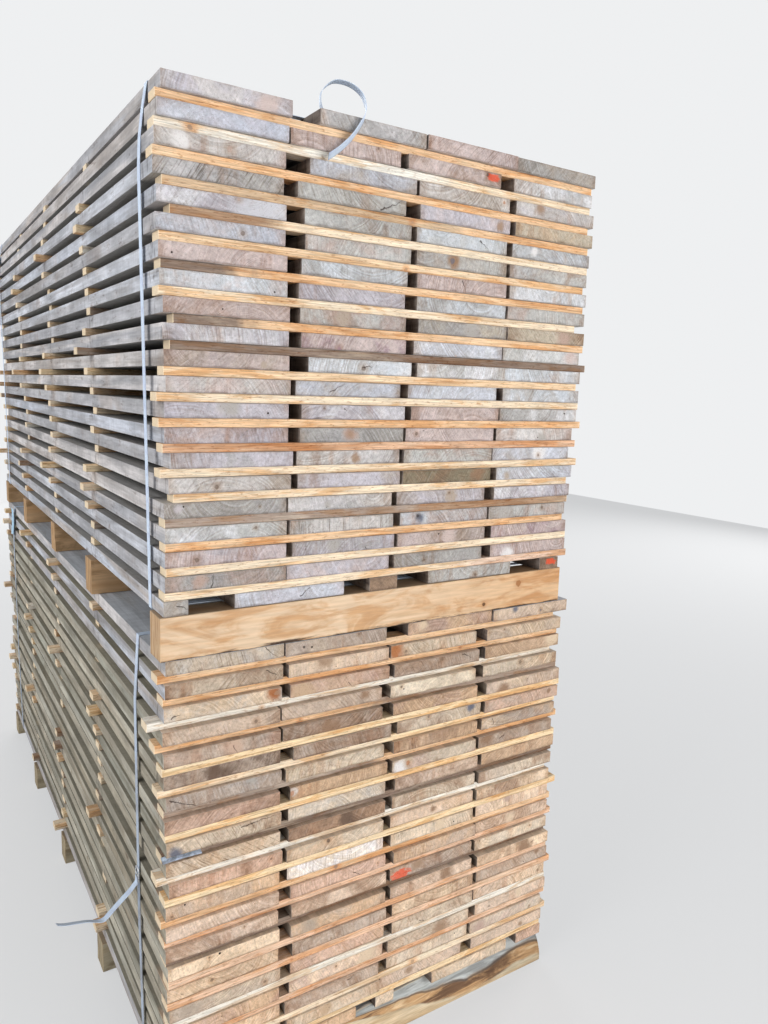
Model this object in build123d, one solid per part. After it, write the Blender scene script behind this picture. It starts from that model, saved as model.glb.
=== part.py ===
from build123d import *
import os

# Two bundles of sawn boards, one on the other. Every layer of boards lies on thin cross
# laths (stickers), each bundle stands on five cross bearers and is held by two flat straps.
# Sizes are in millimetres. X runs across the stack, Y along the boards with the front ends
# at minus Y, Z up from the ground. The origin is under the middle bearer.

board_wide = 266
board_thick = 32
board_long = 2440
boards_across = 4
row_spare = 56
stack_wide = boards_across * board_wide + row_spare
sticker_thick = 18
sticker_deep = 40
sticker_inset = 8
bearer_deep = 70
bearer_short = 10
upper_bearer_height = 94
lower_bearer_height = 90
bearer_count = 5

strap_wide = 19
strap_thick = 1
strap_clear = 0.2
trim_clear = 0.3
upper_near_strap_from_front = 90
upper_far_strap_from_back = 115
lower_near_strap_from_front = 206
lower_far_strap_from_back = 215

wire_thick = 3.2
wire_facets = 8
buckle_play = 9
buckle_wide = strap_wide + buckle_play
buckle_high = 38
buckle_corner = 6
lower_buckle_z = 517
upper_buckle_x = 455
tag_wide = 62
tag_high = 118
tag_thick = 0.8
upper_tag_drop = 53
lower_tag_drop = 6
tail_steps = 26
offcut_long = 85
offcut_overhang = 9
offcut_layer_index = 8
offcut_lean = 18

# Each row of four boards, from the top layer down: how far the first board stands in from the
# left side of the stack, then the three gaps between the boards.
UPPER_ROWS = [
    (6, 63, 2, 2), (-2, 4, 17, 45), (-8, 54, 8, 18), (-10, 28, 40, 13), (-4, 39, 15, 19),
    (-7, 46, 12, 13), (-3, 34, 24, 11), (0, 24, 35, 3), (6, 21, 38, 2), (4, 29, 19, 5),
    (5, 45, 13, 2), (9, 11, 23, 18), (7, 27, 19, 2), (6, 26, 7, 10), (17, 9, 9, 4),
    (12, 17, 6, 20), (4, 2, 16, 27), (5, 6, 22, 4), (4, 15, 7, 24), (3, 2, 12, 33),
]
LOWER_ROWS = [
    (3, 2, 64, 2), (1, 11, 8, 33), (-2, 21, 12, 22), (-6, 4, 22, 28), (-4, 5, 32, 28),
    (-3, 30, 19, 11), (1, 8, 28, 16), (-4, 27, 11, 11), (-1, 19, 26, 13), (-1, 19, 22, 9),
    (5, 8, 23, 10), (-3, 20, 20, 12), (-4, 30, 21, 4), (-5, 34, 12, 8), (1, 26, 16, 16),
    (-2, 34, 18, 13), (2, 27, 21, 5), (-1, 27, 14, 23), (3, 11, 26, 7), (4, 15, 2, 33),
]

# The base row lies straight on the bearers: from the left side the gap before each piece and its
# width, the same from the right side, then the middle strip's shift to the right and its width.
# Narrow strips stand beside two full boards.
UPPER_BASE = ([(0, 52), (100, board_wide)], [(31, 68), (100, board_wide)], (-37, 78))
LOWER_BASE = ([(0, 52), (164, board_wide)], [(0, 95), (40, board_wide)], (11, 57))

# The stickers of the front column: how far the left end and the right end stand out past the
# stack, then how far the sticker lies behind the board ends.
UPPER_FRONT_STICKERS = [
    (3, 10, 8), (7, 4, 4), (10, 3, 5), (-7, 7, 4), (-21, 8, 3), (0, -1, 4), (-3, 6, 6),
    (2, -23, 3), (-26, 14, 4), (-19, 28, 5), (-6, -3, 3), (8, 11, 5), (5, 23, 4), (-2, 8, 3),
    (2, 20, 6), (-23, -15, 4), (-5, -8, 3), (-6, -20, 5), (-7, -5, 4), (-3, 2, 3),
]
LOWER_FRONT_STICKERS = [
    (12, -20, 13), (1, -2, 13), (34, -23, 15), (19, 4, 14), (7, 10, 3), (15, 3, 10),
    (2, 19, 15), (2, 4, 3), (8, 6, 12), (20, -18, 10), (5, 21, 2), (13, 8, 7), (6, 16, 8),
    (1, 1, 14), (-1, 3, 3), (3, 19, 1), (-1, 3, 2), (-1, 9, 4), (0, 14, 2), (0, -3, 3),
]

# Small unevenness of the pieces whose ends are not in plain view, used in turn.
STICKER_LEFT_ENDS = [2, 26, -9, 8, 14, -3, 34, 5, -14, 11, 0, 19, -6]
STICKER_RIGHT_ENDS = [6, -11, 3, -19, -8, 11, -14, -6, 18, -17, 0, 26, -3]
STICKER_DRIFT = [0, 12, -8, 5, -14, 9, -3, 15, -11, 4, -6]
BOARD_END_SHIFT = [0, 2, -1, 3, -2, 1, -3, 2, -1]
UPPER_BEARER_SHIFT = [-8, -16, -6, -11, -4]
LOWER_BEARER_SHIFT = [15, -12, -7, -10, -5]

# Round bark edge of the lower front bearer: how far along the bearer it is taken, how high the
# sawn front face still is there, and how far back the flat top still starts.
WANE = [
    (0.0, 88, 2), (0.25, 87, 3), (0.4, 84, 12), (0.47, 66, 20), (0.55, 50, 26), (0.64, 24, 32),
    (0.7, 7, 36), (0.8, 4, 40), (0.9, 6, 43), (1.0, 19, 44),
]

# How far the cut piece of strap hangs under its highest point, from left to right.
OFFCUT_SAG = [1.6, 0.5, 0.1, 0.3, 1.4]

# Middle line of the tail on top: across from the left side, back from the middle of its strap, up
# from the top boards, then how far the flat strap is turned about its own line.
TOP_TAIL = [
    (464, 0, 5.6, 0), (447, -1, 5.5, 0), (430, -3, 5.8, 0), (402, -8, 9, -4), (376, -18, 18, -12),
    (363, -30, 40, -20), (365, -42, 56, -14), (383, -56, 69, -8), (411, -70, 65, 0), (432, -82, 48, 10),
    (438, -93, 22, 22), (433, -100, 2, 28), (423, -103, -16, 34), (401, -106, -47, 36), (372, -109, -76, 38),
    (342, -112, -99, 38),
]
# Middle line of the tail at the side: out from the strap, up from the foot of the buckle, turn.
SIDE_TAIL = [
    (4.4, 14, 0), (4.4, 6, 0), (5.2, -1, 0), (11, -8, 0), (21, -19, 0), (35, -31, 0), (50, -44, 0),
    (63, -56, 0), (73, -65, 0), (80, -70.5, 2), (89, -71, 8), (101, -67.5, 14), (120, -61, 16),
    (145, -56, 16), (166, -52, 16), (182, -46, 16),
]

left_x = -stack_wide / 2
front_y = -board_long / 2
layer_count = len(UPPER_ROWS)
layer_pitch = board_thick + sticker_thick
lower_base_z = lower_bearer_height
lower_top_z = lower_base_z + board_thick + layer_count * layer_pitch
upper_base_z = lower_top_z + upper_bearer_height
upper_top_z = upper_base_z + board_thick + layer_count * layer_pitch


def box_at(x, y, z, wide, deep, high):
    """A box from its lowest left front corner."""
    return Pos(x, y, z) * Box(wide, deep, high, align=(Align.MIN, Align.MIN, Align.MIN))


def node(name, solids):
    """Join separate solids under one name and save them."""
    shape = Compound(label=name, children=list(solids))
    export_step(shape, os.path.join("parts", name + ".step"))


def layer_z(base_z, index):
    """Underside of a layer of boards, counted from the top layer down."""
    return base_z + board_thick + (layer_count - 1 - index) * layer_pitch + sticker_thick


def row_spans(row):
    """Left and right side of each board of a row of four."""
    x = left_x + row[0]
    spans = [(x, x + board_wide)]
    for gap in row[1:]:
        x += board_wide + gap
        spans.append((x, x + board_wide))
    return spans


def base_spans(base):
    """Left and right side of each piece of a base row, the outer strips first and last."""
    from_left, from_right, (shift, middle_wide) = base
    left = []
    x = left_x
    for gap, wide in from_left:
        left.append((x + gap, x + gap + wide))
        x += gap + wide
    right = []
    x = left_x + stack_wide
    for gap, wide in from_right:
        right.append((x - gap - wide, x - gap))
        x -= gap + wide
    return left + [(shift - middle_wide / 2, shift + middle_wide / 2)] + right[::-1]


def lengthwise(spans, z, turn):
    """Boards or strips that run the length of the stack, their ends a little uneven."""
    solids = []
    for i, (x0, x1) in enumerate(spans):
        shift = BOARD_END_SHIFT[(turn * 4 + i) % len(BOARD_END_SHIFT)]
        solids.append(box_at(x0, front_y + shift, z, x1 - x0, board_long, board_thick))
    return solids


def bearer_fronts():
    """Front face of each bearer, the first and last level with the board ends."""
    step = (board_long - bearer_deep) / (bearer_count - 1)
    return [front_y + i * step for i in range(bearer_count)]


def bearers(z, high, shifts, first):
    """Square cross bearers from the given one to the last."""
    fronts = bearer_fronts()
    return [box_at(left_x + shifts[i], fronts[i], z, stack_wide - bearer_short, bearer_deep, high)
            for i in range(first, bearer_count)]


def stickers(base_z, front_column, turn):
    """All the stickers of a bundle: the front column as measured, the others uneven in turn."""
    solids = []
    fronts = bearer_fronts()
    for line, (left_out, right_out, back) in enumerate(front_column):
        z = layer_z(base_z, line) - sticker_thick
        solids.append(box_at(left_x - left_out, front_y + back, z,
                             stack_wide + left_out + right_out, sticker_deep, sticker_thick))
        for column in range(1, bearer_count):
            k = turn + line * 3 + column * 5
            left_out = STICKER_LEFT_ENDS[k % len(STICKER_LEFT_ENDS)]
            right_out = STICKER_RIGHT_ENDS[k % len(STICKER_RIGHT_ENDS)]
            drift = STICKER_DRIFT[k % len(STICKER_DRIFT)]
            y = fronts[column] + (bearer_deep - sticker_deep) / 2 + drift
            if column == bearer_count - 1:
                y = min(y, front_y + board_long - sticker_inset - sticker_deep)
            solids.append(box_at(left_x - left_out, y, z, stack_wide + left_out + right_out,
                                 sticker_deep, sticker_thick))
    return solids


def waney_bearer():
    """Square bearer whose top front edge is the round outside of the log."""
    outlines = []
    for along, face_high, top_back in WANE:
        x = left_x + LOWER_BEARER_SHIFT[0] + along * (stack_wide - bearer_short)
        low = Vector(x, front_y, 0)
        bark_low = Vector(x, front_y, face_high)
        bark_top = Vector(x, front_y + top_back, lower_bearer_height)
        drop = lower_bearer_height - face_high
        bulge = Vector(x, front_y + 0.38 * top_back, face_high + 0.58 * drop)
        back_top = Vector(x, front_y + bearer_deep, lower_bearer_height)
        back_low = Vector(x, front_y + bearer_deep, 0)
        bark = ThreePointArc(bark_low, bulge, bark_top)
        straight = Polyline(bark_top, back_top, back_low, low, bark_low)
        outlines.append(Face(Wire([bark, *straight.edges()])))
    return Solid.make_loft([face.outer_wire() for face in outlines], ruled=True)


def hull(points):
    """Corners of the tight loop round a set of points, in order."""
    points = sorted(set(points))

    def half(run):
        chain = []
        for p in run:
            while len(chain) > 1:
                (ax, ay), (bx, by) = chain[-2], chain[-1]
                if (bx - ax) * (p[1] - ay) - (by - ay) * (p[0] - ax) > 0:
                    break
                chain.pop()
            chain.append(p)
        return chain[:-1]

    return half(points) + half(points[::-1])


def bundle_corners(rows, base, base_z):
    """Corner points, seen from the front, of all rows of a bundle."""
    points = []
    for index, row in enumerate(rows):
        spans = row_spans(row)
        z = layer_z(base_z, index)
        points += [(x, h) for x in (spans[0][0], spans[-1][1]) for h in (z, z + board_thick)]
    spans = base_spans(base)
    points += [(x, h) for x in (spans[0][0], spans[-1][1]) for h in (base_z, base_z + board_thick)]
    return points


def strap(corners, y):
    """Flat strap pulled tight round the corners, its middle at the given place along the boards."""
    loop = Face(Wire.make_polygon([Vector(x, 0, z) for x, z in hull(corners)], close=True))
    plane = Plane.XZ
    flat = Sketch() + plane.to_local_coords(loop)
    inner = offset(flat, strap_clear, kind=Kind.INTERSECTION)
    outer = offset(inner, strap_thick, kind=Kind.ARC)
    ring = extrude(outer - inner, amount=strap_wide)
    return Pos(0, y + strap_wide / 2, 0) * (plane * ring)


def side_x(corners, z):
    """Where the left side of the tight loop stands at a height."""
    loop = hull(corners)
    crossings = []
    for (ax, az), (bx, bz) in zip(loop, loop[1:] + loop[:1]):
        if min(az, bz) <= z <= max(az, bz) and az != bz:
            crossings.append(ax + (bx - ax) * (z - az) / (bz - az))
    return min(crossings)


def ribbon(stations):
    """Flat strap through thin sections: middle point, way along, way across."""
    sections = []
    for middle, along, across in stations:
        plane = Plane(origin=middle, x_dir=across, z_dir=along)
        sections.append((plane * Rectangle(strap_wide, strap_thick)).face().outer_wire())
    return Solid.make_loft(sections, ruled=True)


def tail(points, turns):
    """Loose end of a strap along a smooth line through points, turned about its line as given."""
    line = Spline(*points)
    shares = [line.param_at_point(point) for point in points]
    stations = []
    for step in range(tail_steps + 1):
        share = step / tail_steps
        i = max(k for k in range(len(shares) - 1) if shares[k] <= share or k == 0)
        part = (share - shares[i]) / (shares[i + 1] - shares[i])
        turn = turns[i] + (turns[i + 1] - turns[i]) * part
        along = line.tangent_at(share, position_mode=PositionMode.PARAMETER)
        middle = line.position_at(share, position_mode=PositionMode.PARAMETER)
        level = (Vector(0, 1, 0) - along * along.Y).normalized()
        stations.append((middle, along, level.rotate(Axis((0, 0, 0), along), turn)))
    return ribbon(stations)


def buckle():
    """Wire bent to a rounded loop with one bar across its middle, lying flat about the origin."""
    wide = buckle_wide - wire_thick
    high = buckle_high - wire_thick
    loop = RectangleRounded(wide, high, buckle_corner).face().outer_wire()
    start = loop.position_at(0)
    section = RegularPolygon(wire_thick / 2, wire_facets)
    ring = sweep(Plane(origin=start, z_dir=loop.tangent_at(0)) * section, path=loop)
    bar = extrude(Plane.YZ.offset(-wide / 2) * section, amount=wide)
    return (ring + bar).solid()


def side_tag(corners, top, y):
    """Label tag that hangs flat outside the strap on the left side."""
    heights = [top - tag_high * i / 8 for i in range(9)]
    x = min(side_x(corners, z) for z in heights) - strap_clear - strap_thick - trim_clear - tag_thick
    return box_at(x, y - tag_wide / 2, top - tag_high, tag_thick, tag_wide, tag_high)


def offcut():
    """Short cut piece of strap caught in front of a sticker of the lower bundle."""
    z = layer_z(lower_base_z, offcut_layer_index)
    sticker_front = front_y + LOWER_FRONT_STICKERS[offcut_layer_index][2]
    across = Vector(0, 1, 0).rotate(Axis.X, offcut_lean)
    reach = across * (strap_wide / 2)
    back = sticker_front - strap_thick / 2 - trim_clear / 2
    top = z - strap_thick / 2 - trim_clear
    stations = []
    for step, sag in enumerate(OFFCUT_SAG):
        x = left_x - offcut_overhang + offcut_long * step / (len(OFFCUT_SAG) - 1)
        stations.append((Vector(x, back, top - sag) - reach, Vector(1, 0, 0), across))
    return ribbon(stations)


def main():
    os.makedirs("parts", exist_ok=True)
    bundles = [
        ("upper", UPPER_ROWS, UPPER_BASE, upper_base_z, 0),
        ("lower", LOWER_ROWS, LOWER_BASE, lower_base_z, 7),
    ]
    for name, rows, base, base_z, turn in bundles:
        for index, row in enumerate(rows):
            boards = lengthwise(row_spans(row), layer_z(base_z, index), turn + index)
            node(f"{name}_layer_{index + 1:02d}", boards)
        node(name + "_base_row", lengthwise(base_spans(base), base_z, turn))
    node("upper_stickers", stickers(upper_base_z, UPPER_FRONT_STICKERS, 0))
    node("lower_stickers", stickers(lower_base_z, LOWER_FRONT_STICKERS, 4))
    node("upper_bearers", bearers(lower_top_z, upper_bearer_height, UPPER_BEARER_SHIFT, 0))
    node("lower_bearers", bearers(0, lower_bearer_height, LOWER_BEARER_SHIFT, 1))
    node("lower_front_bearer", [waney_bearer()])

    upper_corners = bundle_corners(UPPER_ROWS, UPPER_BASE, upper_base_z)
    lower_corners = bundle_corners(LOWER_ROWS, LOWER_BASE, lower_base_z)
    upper_near_y = front_y + upper_near_strap_from_front
    upper_far_y = front_y + board_long - upper_far_strap_from_back
    lower_near_y = front_y + lower_near_strap_from_front
    lower_far_y = front_y + board_long - lower_far_strap_from_back
    node("upper_near_strap", [strap(upper_corners, upper_near_y)])
    node("upper_far_strap", [strap(upper_corners, upper_far_y)])
    node("lower_near_strap", [strap(lower_corners, lower_near_y)])
    node("lower_far_strap", [strap(lower_corners, lower_far_y)])

    stand_off = strap_clear + strap_thick + trim_clear + wire_thick / 2
    top_place = Pos(left_x + upper_buckle_x, upper_near_y, upper_top_z + stand_off)
    node("upper_buckle", [top_place * Rot(0, 0, 90) * buckle()])
    side = min(side_x(lower_corners, lower_buckle_z), side_x(lower_corners, lower_buckle_z + buckle_high))
    side_place = Pos(side - stand_off, lower_near_y, lower_buckle_z + buckle_high / 2)
    node("lower_buckle", [side_place * Rot(0, 0, 90) * Rot(90, 0, 0) * buckle()])
    tail_side = side - strap_clear - strap_thick

    top_points = [Vector(left_x + x, upper_near_y + y, upper_top_z + z) for x, y, z, _ in TOP_TAIL]
    node("upper_strap_tail", [tail(top_points, [row[3] for row in TOP_TAIL])])
    side_points = [Vector(tail_side - out, lower_near_y, lower_buckle_z + up) for out, up, _ in SIDE_TAIL]
    node("lower_strap_tail", [tail(side_points, [row[2] for row in SIDE_TAIL])])
    node("strap_offcut", [offcut()])
    node("upper_tag", [side_tag(upper_corners, upper_top_z - upper_tag_drop, upper_far_y)])
    node("lower_tag", [side_tag(lower_corners, lower_top_z - lower_tag_drop, lower_far_y)])


main()
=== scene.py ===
import bpy
import numpy as np
from mathutils import Matrix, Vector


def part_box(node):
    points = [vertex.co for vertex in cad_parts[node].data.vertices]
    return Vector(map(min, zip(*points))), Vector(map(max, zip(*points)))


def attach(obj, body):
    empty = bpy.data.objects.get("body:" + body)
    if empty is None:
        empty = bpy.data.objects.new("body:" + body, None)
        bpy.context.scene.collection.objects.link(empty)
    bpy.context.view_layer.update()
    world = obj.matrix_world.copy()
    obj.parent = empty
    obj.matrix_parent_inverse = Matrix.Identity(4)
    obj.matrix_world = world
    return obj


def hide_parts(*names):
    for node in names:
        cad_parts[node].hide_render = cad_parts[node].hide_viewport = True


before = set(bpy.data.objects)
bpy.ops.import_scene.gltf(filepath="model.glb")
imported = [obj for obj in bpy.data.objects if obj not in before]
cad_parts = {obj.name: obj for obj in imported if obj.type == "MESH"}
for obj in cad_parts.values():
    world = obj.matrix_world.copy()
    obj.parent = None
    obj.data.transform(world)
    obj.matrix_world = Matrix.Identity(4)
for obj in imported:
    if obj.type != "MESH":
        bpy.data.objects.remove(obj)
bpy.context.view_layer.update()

# Square cross bearers, the lowest pieces: four under the lower bundle and five between the
# bundles. They are sawn softwood and never planed, so the faces are a little uneven and the
# sharp edges are rubbed off.


def solids_of(node):
    """Lowest and highest corner of every separate solid of a CAD node. Corners that share a triangle
    get the same number, the smaller one of the two, until nothing changes any more."""
    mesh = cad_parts[node].data
    place = np.zeros(len(mesh.vertices) * 3)
    mesh.vertices.foreach_get("co", place)
    mesh.calc_loop_triangles()
    corner = np.zeros(len(mesh.loop_triangles) * 3, np.int64)
    mesh.loop_triangles.foreach_get("vertices", corner)
    spots, same = np.unique(np.round(place.reshape(-1, 3), 5), axis=0, return_inverse=True)
    triangles = same.ravel()[corner].reshape(-1, 3)
    label = np.arange(len(spots))
    while True:
        before = label.copy()
        np.minimum.at(label, triangles.ravel(), np.repeat(label[triangles].min(1), 3))
        label = label[label]
        if (label == before).all():
            break
    groups = [spots[label == number] for number in np.unique(label)]
    return np.array([g.min(0) for g in groups]), np.array([g.max(0) for g in groups])


def box_skin(counts):
    """Places and faces of a closed box skin: all points of a lattice of (x, y, z) cells that are
    first or last in some direction, and the four-sided cells between them, wound to face outwards.
    The third result is the axis that each face looks along."""
    grid = np.meshgrid(*[np.arange(n + 1) for n in counts], indexing="ij")
    skin = np.zeros(grid[0].shape, bool)
    for axis, n in enumerate(counts):
        skin |= (grid[axis] == 0) | (grid[axis] == n)
    number = np.full(skin.shape, -1)
    number[skin] = np.arange(skin.sum())
    faces, looks = [], []
    for axis in range(3):
        for side in (0, -1):
            sheet = np.moveaxis(number, axis, 0)[side]
            cells = np.stack([sheet[:-1, :-1], sheet[1:, :-1], sheet[1:, 1:], sheet[:-1, 1:]], -1)
            cells = cells.reshape(-1, 4)
            outward = (side == -1) != (axis == 1)
            faces.append(cells if outward else cells[:, ::-1])
            looks.append(np.full(len(cells), axis))
    return np.stack([g[skin] for g in grid], 1), np.concatenate(faces), np.concatenate(looks)


def ripple(points, seed, cell, kinds=5):
    """Smooth unevenness from 0 to 1: the mean of a few sine waves through space, with lengths near
    the cell size and directions and phases that the seed picks."""
    pick = np.random.default_rng(seed)
    total = 0
    for _ in range(kinds):
        way = pick.normal(size=3)
        way *= 2 * np.pi / (cell * pick.uniform(0.6, 1.6) * np.linalg.norm(way))
        total = total + np.sin(points @ way + pick.uniform(0, 6.28))
    return 0.5 + 0.5 * total / kinds


def new_object(name, points, faces, slots, facts, face_slot=None, smooth=False):
    """Mesh object at the origin from points and faces, with its materials and named values."""
    mesh = bpy.data.meshes.new(name)
    mesh.from_pydata(points.tolist(), [], faces)
    for material in slots:
        mesh.materials.append(material)
    if face_slot is not None:
        mesh.polygons.foreach_set("material_index", face_slot.astype(np.int32))
    if smooth:
        mesh.polygons.foreach_set("use_smooth", np.ones(len(faces), bool))
    for fact, values in facts.items():
        values = np.asarray(values, np.float32)
        kind, field = ("FLOAT", "value") if values.ndim == 1 else ("FLOAT_VECTOR", "vector")
        mesh.attributes.new(fact, kind, "POINT").data.foreach_set(field, values.ravel())
    mesh.update()
    piece = bpy.data.objects.new(name, mesh)
    bpy.context.scene.collection.objects.link(piece)
    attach(piece, "root")
    return piece


# Metres from one swell of a sawn face to the next and from chip to chip, and the part of the edges
# that stays free of chips.
SWELL = 0.05
CHIP = 0.03
UNCHIPPED = 0.66


def sawn(node, counts, rim, rough, slots, facts, sorted_by=0):
    """All solids of one CAD node as sawn pieces, sorted along one axis. Each is a closed box skin
    with a narrow strip of width rim beside every edge; points on an edge are pulled in by a third of
    the strip and chipped here and there, and every face sinks in by up to rough metres along the
    ripple. facts gives the sorted pieces values of their own. With three finishes, the faces along
    x, y and z (sides, ends and flats) have one each."""
    low, high = solids_of(node)
    rank = np.argsort(np.round(low[:, sorted_by], 4), kind="stable")
    low, high = low[rank], high[rank]
    place, faces, looks = box_skin(counts)
    size = high - low
    points = np.empty((len(low), len(place), 3))
    side = np.zeros((len(place), 3))
    for axis, count in enumerate(counts):
        inner = np.linspace(0, 1, count - 1)
        share = np.concatenate([[0], inner, [1]])
        strip = np.concatenate([[0], 1 - 2 * inner, [0]])
        at = place[:, axis]
        points[:, :, axis] = low[:, None, axis] + size[:, None, axis] * share[at] + rim * strip[at]
        side[:, axis] = (at == count) * 1.0 - (at == 0) * 1.0
    edge = (np.abs(side).sum(1) >= 2) * 1.0
    where = points - (low + high)[:, None] / 2
    name = node + "_sawn"
    seed = sum(ord(letter) for letter in name)
    for number in range(len(low)):
        sink = rough * ripple(points[number], seed + number, SWELL)
        chip = ripple(points[number], seed + number + 500, CHIP) - UNCHIPPED
        chip = rim * 5 * np.clip(chip, 0, 1)
        pull = sink + edge * (0.33 * rim + chip)
        points[number] -= side * pull[:, None]
    every = np.repeat(np.arange(len(low)), len(place))
    values = {fact: np.asarray(value)[every] for fact, value in facts(low, high).items()}
    values.update({"where": where.reshape(-1, 3), "arris": np.tile(edge, len(low))})
    step = (np.arange(len(low)) * len(place))[:, None, None]
    piece = new_object(name, points.reshape(-1, 3), (faces + step).reshape(-1, 4).tolist(), slots,
                       values, np.tile(looks, len(low)) if len(slots) > 1 else None)
    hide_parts(node)


def shade(red, green, blue):
    """Colour as the eye reads it, 0 to 255, as the linear numbers that light is reckoned in."""
    c = np.array((red, green, blue), float) / 255
    return tuple(np.where(c <= 0.04045, c / 12.92, ((c + 0.055) / 1.055) ** 2.4))


class Recipe:
    """Puts shader nodes into one tree and keeps the colour it has come to. A value is a number, a
    colour, a node's output, or an output with the limits of its ramp."""

    def __init__(self, tree):
        self.tree = tree
        self.colour = None

    def put(self, socket, value):
        """Wire or set one socket."""
        if isinstance(value, tuple) and isinstance(value[0], bpy.types.NodeSocket):
            value = self.ramp(*value)
        if isinstance(value, bpy.types.NodeSocket):
            self.tree.links.new(value, socket)
        elif value is not None:
            if socket.type == "RGBA" and len(value) == 3:
                value = (*value, 1)
            socket.default_value = value

    def node(self, kind, *values, **settings):
        """A node with its own settings and its first sockets in their order."""
        node = self.tree.nodes.new("ShaderNode" + kind)
        for name, value in settings.items():
            setattr(node, name, value)
        for socket, value in zip(node.inputs, values):
            self.put(socket, value)
        return node

    def sum(self, operation, *values):
        """One step of arithmetic on numbers."""
        return self.node("Math", *values, operation=operation).outputs[0]

    def times(self, value, *factors):
        """A number multiplied by others, one after the other."""
        for factor in factors:
            value = self.sum("MULTIPLY", value, factor)
        return value

    def plus(self, start, value, factor):
        """A number and a factor times another one."""
        return self.sum("MULTIPLY_ADD", value, factor, start)

    def size(self, value):
        """A number without its sign."""
        return self.sum("ABSOLUTE", value)

    def over(self, value, limit):
        """1 where a number is over the limit."""
        return self.sum("GREATER_THAN", value, limit)

    def steer(self, operation, *values):
        """One step of arithmetic on vectors."""
        node = self.node("VectorMath", *values, operation=operation)
        return node.outputs["Value" if operation == "LENGTH" else "Vector"]

    def legs(self, vector):
        """The three numbers of a vector."""
        return self.node("SeparateXYZ", vector).outputs

    def vector(self, *legs):
        """A vector from three numbers."""
        return self.node("CombineXYZ", *legs).outputs[0]

    def turned(self, vector, angle):
        """A vector turned about Y."""
        return self.node("VectorRotate", vector, None, None, angle, rotation_type="Y_AXIS").outputs[0]

    def fact(self, name, single=False):
        """A value that the mesh carries."""
        return self.node("Attribute", attribute_name=name).outputs["Fac" if single else "Vector"]

    def places(self):
        """The point in its piece, the same point with the piece's drift, and the first one's legs."""
        where = self.fact("where")
        return where, self.steer("ADD", where, self.fact("drift")), self.legs(where)

    def noise(self, vector, scale, detail=2, roughness=0.5, distortion=0):
        """Soft noise from 0 to 1."""
        return self.node("TexNoise", vector, None, scale, detail, roughness, None, None, None,
                         distortion).outputs[0]

    def streaks(self, vector, scales, *rest):
        """Noise with a scale of its own in each direction."""
        return self.noise(self.steer("MULTIPLY", vector, scales), 1, *rest)

    def ramp(self, value, low, high, to_low=0, to_high=1):
        """A number that goes smoothly from one limit to the other."""
        return self.node("MapRange", value, low, high, to_low, to_high,
                         interpolation_type="SMOOTHSTEP").outputs[0]

    def blend(self, share, under, over):
        """One colour over another."""
        node = self.node("Mix", data_type="RGBA")
        for place, value in ((0, share), (6, under), (7, over)):
            self.put(node.inputs[place], value)
        return node.outputs[2]

    def lit(self, colour, amount):
        """A colour made lighter or darker by a factor."""
        return self.steer("SCALE", colour, None, None, amount)

    def cover(self, share, over):
        """Another colour over the one so far."""
        self.colour = self.blend(share, self.colour, over)

    def tint(self, share, factors, more=None):
        """The colour so far multiplied by three factors, with more added."""
        step = "MULTIPLY_ADD" if more else "MULTIPLY"
        self.cover(share, self.steer(step, self.colour, factors, more))

    def shaded(self, *ramp):
        """The colour so far lighter or darker along a ramp."""
        self.colour = self.lit(self.colour, ramp)

    def edge_highlight(self, share, over):
        """A lighter colour on the edges: a painted highlight where light catches them."""
        self.cover(self.times(self.fact("arris", True), share), over)

    def use(self, effect, **values):
        """A shared effect with its own values; gives the outputs by name."""
        node = self.node("Group", node_tree=effect)
        for name, value in values.items():
            self.put(node.inputs[name], value)
        return node.outputs

    def mark(self, where, fact, ragged):
        """A round mark whose place and radius the mesh carries."""
        return self.use(round_mark, Point=where, Mark=self.fact(fact), Ragged=ragged)

    def surface(self, grain, smooth, rough, share):
        """Roughness and height that follow the grain."""
        fibres = grain["Fibres"]
        return (fibres, 0.2, 0.8, smooth, rough), self.plus(fibres, grain["Bands"], share)

    def seen(self):
        """1 where the camera, a reflection or a clear thing looks at the surface."""
        ray = self.node("LightPath").outputs
        through = self.sum("MAXIMUM", ray["Is Glossy Ray"], ray["Is Transmission Ray"])
        return self.sum("MAXIMUM", ray["Is Camera Ray"], through)


def shared_effect(name, wants, gives):
    """An empty shader node group with named sockets, a Float where no other kind is said. Gives the
    group, its recipe, its inputs and its outputs."""
    tree = bpy.data.node_groups.new(name, "ShaderNodeTree")
    for way, labels in (("INPUT", wants), ("OUTPUT", gives)):
        for word in labels.split():
            label, _, kind = word.partition(":")
            kind = "NodeSocket" + (kind or "Float")
            tree.interface.new_socket(name=label, in_out=way, socket_type=kind)
    entry = tree.nodes.new("NodeGroupInput")
    return tree, Recipe(tree), entry.outputs, tree.nodes.new("NodeGroupOutput").inputs


# Grain that runs along the piece: the point is squeezed by the stretch and read as noise.
long_grain, make, given, out = shared_effect(
    "long_grain", "Point:Vector Stretch:Vector", "Fibres Bands")
squeezed = make.steer("MULTIPLY", given["Point"], given["Stretch"])
make.put(out["Fibres"], make.noise(squeezed, 6, 3, 0.6))
make.put(out["Bands"], make.noise(squeezed, 1, 3, 0.55, 0.6))

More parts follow.
